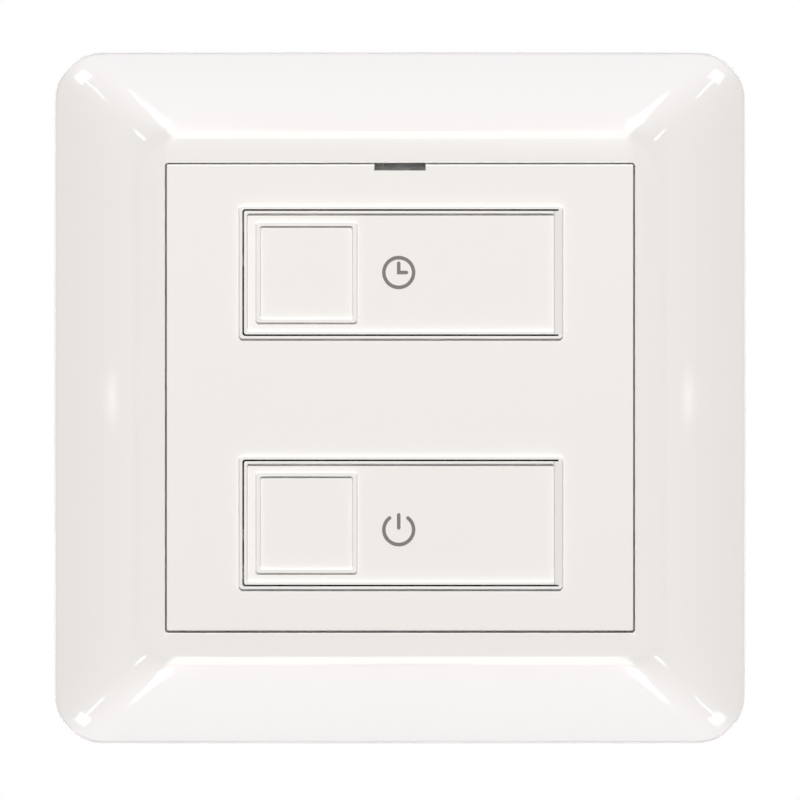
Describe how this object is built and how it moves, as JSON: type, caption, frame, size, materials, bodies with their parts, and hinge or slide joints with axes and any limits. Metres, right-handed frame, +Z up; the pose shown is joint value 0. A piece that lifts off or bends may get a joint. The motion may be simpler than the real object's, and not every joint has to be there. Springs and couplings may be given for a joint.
{
  "type": "timer panel",
  "caption": "Flush wall timer panel: square cover frame, centre plate with two flexing tongue keys, steel ring and round relay insert behind.",
  "frame": {"origin": "middle of the two box screws on the wall's surface, which is the back face of the steel ring", "axes": "+X right and +Z up as seen from the room, +Y into the wall, so the keys face -Y"},
  "size_m": [0.081, 0.0373, 0.081],
  "materials": {
    "white_gloss": "pure white moulded plastic, polished",
    "grey_plastic": "light grey moulded plastic, fine matt",
    "black_plastic": "black moulded plastic, fine matt",
    "red_plastic": "red moulded plastic",
    "blue_plastic": "blue coated or moulded plastic",
    "yellow_plastic": "yellow potted plastic case",
    "board_laminate": "green coated glass-fibre laminate",
    "zinc_steel": "zinc-plated steel",
    "can_aluminium": "drawn aluminium can",
    "pin_brass": "bright brass"
  },
  "bodies": {
    "panel": {"cover_frame": "white_gloss", "centre_plate": "white_gloss", "timer_key_hinge": "white_gloss", "off_key_hinge": "white_gloss", "timer_switch": "black_plastic", "off_switch": "black_plastic", "control_board": "board_laminate", "controller_chip": "black_plastic", "clock_crystal": "can_aluminium", "board_resistors": "black_plastic", "pin_header": "black_plastic", "header_pins": "pin_brass", "module_back": "grey_plastic", "module_screws": "zinc_steel", "support_ring": "zinc_steel", "insert_housing": "grey_plastic", "insert_lid": "grey_plastic", "lid_screws": "zinc_steel", "power_board": "board_laminate", "socket_strip": "black_plastic", "relay": "blue_plastic", "film_capacitor": "yellow_plastic", "smoothing_capacitor": "can_aluminium", "varistor": "blue_plastic", "fuse": "black_plastic", "choke": "black_plastic", "rectifier": "black_plastic", "terminal_block": "black_plastic", "terminal_cages": "pin_brass", "terminal_screws": "zinc_steel", "terminal_bars": "pin_brass"},
    "timer_tongue": {"timer_key": "white_gloss"},
    "off_tongue": {"off_key": "white_gloss"},
    "timer_stem": {"timer_switch_stem": "red_plastic"},
    "off_stem": {"off_switch_stem": "red_plastic"}
  },
  "joints": [
    {"name": "timer_key_press", "type": "hinge", "parent": "panel", "child": "timer_tongue", "pos_m": [0.01855, -0.00928, 0.01465], "axis": [0, 0, -1], "range_deg": [0, 1.6], "stiffness_Nm_per_rad": 3, "deforming": ["timer_key_hinge"]},
    {"name": "off_key_press", "type": "hinge", "parent": "panel", "child": "off_tongue", "pos_m": [0.01855, -0.00928, -0.01465], "axis": [0, 0, -1], "range_deg": [0, 1.6], "stiffness_Nm_per_rad": 3, "deforming": ["off_key_hinge"]},
    {"name": "timer_stem_slide", "type": "slide", "parent": "panel", "child": "timer_stem", "axis": [0, 1, 0], "range_m": [0, 0.00083]},
    {"name": "off_stem_slide", "type": "slide", "parent": "panel", "child": "off_stem", "axis": [0, 1, 0], "range_m": [0, 0.00083]}
  ],
  "couplings": [
    {"joint": "timer_stem_slide", "follows": "timer_key_press", "m_per_rad": 0.0295},
    {"joint": "off_stem_slide", "follows": "off_key_press", "m_per_rad": 0.0295}
  ]
}
